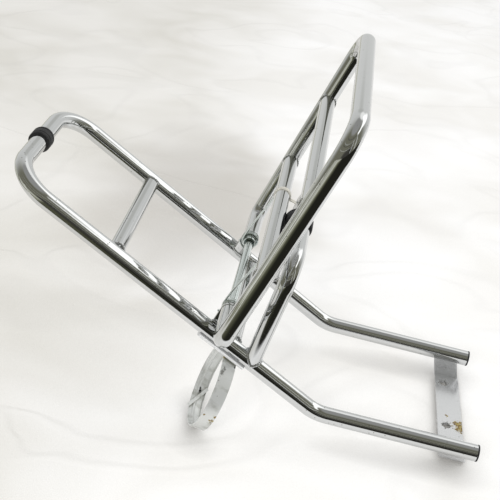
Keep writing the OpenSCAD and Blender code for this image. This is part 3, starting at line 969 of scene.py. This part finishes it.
def floor_sheet():
    """A flat sheet behind the rack, clear from its back. Half of what the camera and the
    chrome see of it is plain diffuse cloth that takes the shadow, half a painted glow that carries painted
    shadows and shade."""
    corners = [UP * FLOOR_DEPTH + FLOOR_HALF * (a * AWAY + b * ACROSS)
               for a, b in ((-1, -1), (1, -1), (1, 1), (-1, 1))]
    mesh = bpy.data.meshes.new("floor_sheet")
    mesh.from_pydata([tuple(c) for c in corners], [], [(0, 1, 2, 3)])
    mesh.update()
    material = bpy.data.materials.new("pale_sheet")
    material.use_nodes = True
    tree = material.node_tree
    tree.nodes.clear()
    geometry = tree.nodes.new("ShaderNodeNewGeometry")
    point = tree.nodes.new("ShaderNodeTexCoord").outputs["Object"]
    path = tree.nodes.new("ShaderNodeLightPath")
    xyz = node(tree, "ShaderNodeSeparateXYZ", [(0, point)])
    x, z = xyz.outputs["X"], xyz.outputs["Z"]

    fold, crease, height = cloth_shape(tree, point)
    # colour follows the folds: painted fold shading on the diffuse cloth
    tone = ramp(tree, fold, 0.35, 0.65)
    colour = mix_colour(tree, tone, (0.84, 0.825, 0.795, 1), (0.90, 0.89, 0.875, 1))
    normal = node(tree, "ShaderNodeBump", [("Height", height), ("Strength", 0.36), ("Distance", 0.025)])
    diffuse = node(tree, "ShaderNodeBsdfDiffuse", [("Color", colour), ("Normal", normal.outputs[0])])
    # the sheet's emission is a painted glow, not a lamp
    painted_glow = node(tree, "ShaderNodeEmission", [("Color", cloth_painted_light(tree, point, z, fold, crease, tone))])
    looked_at = math_node(tree, "MAXIMUM", path.outputs["Is Camera Ray"], path.outputs["Is Glossy Ray"])
    pale = mix_shader(tree, times(tree, looked_at, 0.5), diffuse.outputs[0], painted_glow.outputs[0])

    dark = node(tree, "ShaderNodeEmission", [("Color", room_floor(tree, x, z))])
    past = ramp(tree, dot(tree, point, SHEET_EDGE[0]), SHEET_EDGE[1], SHEET_EDGE[1] + 0.03)
    past = math_node(tree, "MAXIMUM", past, ramp(tree, z, SHEET_TOP, SHEET_TOP + 0.1))
    seen = times(tree, past, path.outputs["Is Glossy Ray"])
    lit = mix_shader(tree, seen, pale, dark.outputs[0])
    clear = tree.nodes.new("ShaderNodeBsdfTransparent")
    both = mix_shader(tree, geometry.outputs["Backfacing"], lit, clear.outputs[0])
    node(tree, "ShaderNodeOutputMaterial", [(0, both)])
    mesh.materials.append(material)
    obj = bpy.data.objects.new("floor_sheet", mesh)
    bpy.context.scene.collection.objects.link(obj)


# Room and lamps

def direction(azimuth, elevation):
    """The way to look at an azimuth round the floor's normal, from the side away from the
    camera, and an elevation: cos e (cos a AWAY + sin a ACROSS) + sin e UP."""
    a, e = math.radians(azimuth), math.radians(elevation)
    return math.cos(e) * (math.cos(a) * AWAY + math.sin(a) * ACROSS) + math.sin(e) * UP


WALL_FAR = (0.765, 0.77, 0.755, 1)
WALL_NEAR = (0.2, 0.197, 0.15, 1)
WINDOW = (1.65, 1.65, 1.62, 1)
WALL_LIGHT = (0.85, 0.86, 0.84, 1)
WALL_PATCHES = (
    (direction(-155, 4), 0.88, 0.99, (0.05, 0.049, 0.04, 1)),
    (direction(182, -4), 0.86, 0.985, (0.06, 0.058, 0.05, 1)),
    (UP, 0.84, 0.93, (0.36, 0.36, 0.35, 1)),
    (direction(4, 31), 0.961, 0.996, (0.6, 0.605, 0.58, 1)),
    (direction(-24, 50), 0.94, 0.985, (1.15, 1.15, 1.13, 1)),
)
WALL_LINES = (
    (0.34, 0.014, (0.52, 0.52, 0.48, 1)),
    (0.52, 0.02, (0.09, 0.09, 0.075, 1)),
    (0.60, 0.012, (0.46, 0.47, 0.45, 1)),
    (0.76, 0.03, (0.12, 0.12, 0.105, 1)),
)
WALL_POSTS = ((-2.08, 0.05), (-2.5, 0.035))
RACK_MIDDLE = np.array([-0.015, -0.15, 0.21])


def sky_part(tree, way, axis, low, high):
    """A smooth patch of the room: the cosine to an axis, raised from nought at low to one
    at high."""
    return span(tree, dot(tree, way, axis), low, high)


def window_part(tree, rise, azimuth):
    """The window: a band of rises between two azimuths, its sill sinking past one of them."""
    drop = times(tree, math_node(tree, "MAXIMUM", math_node(tree, "ADD", azimuth, 1.5), 0.0), 0.42)
    part = span(tree, math_node(tree, "ADD", rise, drop), 0.645, 0.72)
    for value, low, high in ((rise, 0.83, 0.76), (azimuth, -2.25, -2.0), (azimuth, -0.4, -0.65)):
        part = times(tree, part, span(tree, value, low, high))
    return part


def room():
    """Plain soft light all round. Only the chrome sees the room: a pale wall that darkens
    behind the camera, patches of light and shade, level lines and two pale posts on its
    dark side, and a bright window."""
    world = bpy.data.worlds.new("studio")
    bpy.context.scene.world = world
    world.use_nodes = True
    tree = world.node_tree
    tree.nodes.clear()
    way = tree.nodes.new("ShaderNodeTexCoord").outputs["Generated"]
    path = tree.nodes.new("ShaderNodeLightPath")
    rise = dot(tree, way, UP)
    azimuth = math_node(tree, "ARCTAN2", dot(tree, way, ACROSS), dot(tree, way, AWAY))

    wall = mix_colour(tree, sky_part(tree, way, -AWAY, -0.75, 0.2), WALL_FAR, WALL_NEAR)
    for axis, low, high, colour in WALL_PATCHES:
        wall = mix_colour(tree, sky_part(tree, way, axis, low, high), wall, colour)
    dark_side = sky_part(tree, way, -AWAY, 0.1, 0.5)
    for height, half, colour in WALL_LINES:
        line = times(tree, stripe(tree, rise, height, half, 0.5), dark_side)
        wall = mix_colour(tree, line, wall, colour)
    low_part = times(tree, span(tree, rise, 0.66, 0.56), span(tree, rise, -0.05, 0.05))
    for middle, half in WALL_POSTS:
        post = times(tree, stripe(tree, azimuth, middle, half, 0.4), low_part)
        wall = mix_colour(tree, post, wall, WALL_LIGHT)
    wall = mix_colour(tree, window_part(tree, rise, azimuth), wall, WINDOW)

    seen, fill, back = (
        node(tree, "ShaderNodeBackground", [("Color", colour), ("Strength", strength)]).outputs[0]
        for colour, strength in ((wall, 1.0), ((0.94, 0.96, 1.0, 1), 0.72), ((0.90, 0.895, 0.885, 1), 1.0)))
    lit = mix_shader(tree, path.outputs["Is Glossy Ray"], fill, seen)
    both = mix_shader(tree, path.outputs["Is Camera Ray"], lit, back)
    node(tree, "ShaderNodeOutputWorld", [(0, both)])


def lamp(name, way, distance, size, power):
    """A soft square lamp that looks at the rack's middle, not seen in the chrome."""
    data = bpy.data.lights.new(name, "AREA")
    data.size = size
    data.energy = power
    obj = bpy.data.objects.new(name, data)
    bpy.context.scene.collection.objects.link(obj)
    obj.location = Vector(RACK_MIDDLE + distance * way)
    obj.rotation_euler = Vector(-way).to_track_quat("-Z", "Y").to_euler()
    obj.visible_glossy = False


floor_sheet()
room()
lamp("room_lamp", direction(166, 30), 1.9, 0.5, 16.0)
lamp("window_lamp", direction(-72, 40), 2.0, 1.4, 14.0)

# Camera, fitted to the tube edges in the photo

camera = bpy.data.cameras.new("camera")
camera.lens = 69.69
camera.sensor_width = 36.0
camera.clip_start = 0.01
view = bpy.data.objects.new("camera", camera)
view.location = (-0.8105, -0.5867, 0.2161)
view.rotation_euler = tuple(math.radians(a) for a in (93.67, 75.9446, -56.6602))
bpy.context.scene.collection.objects.link(view)
bpy.context.scene.camera = view
bpy.context.scene.view_settings.view_transform = "Standard"
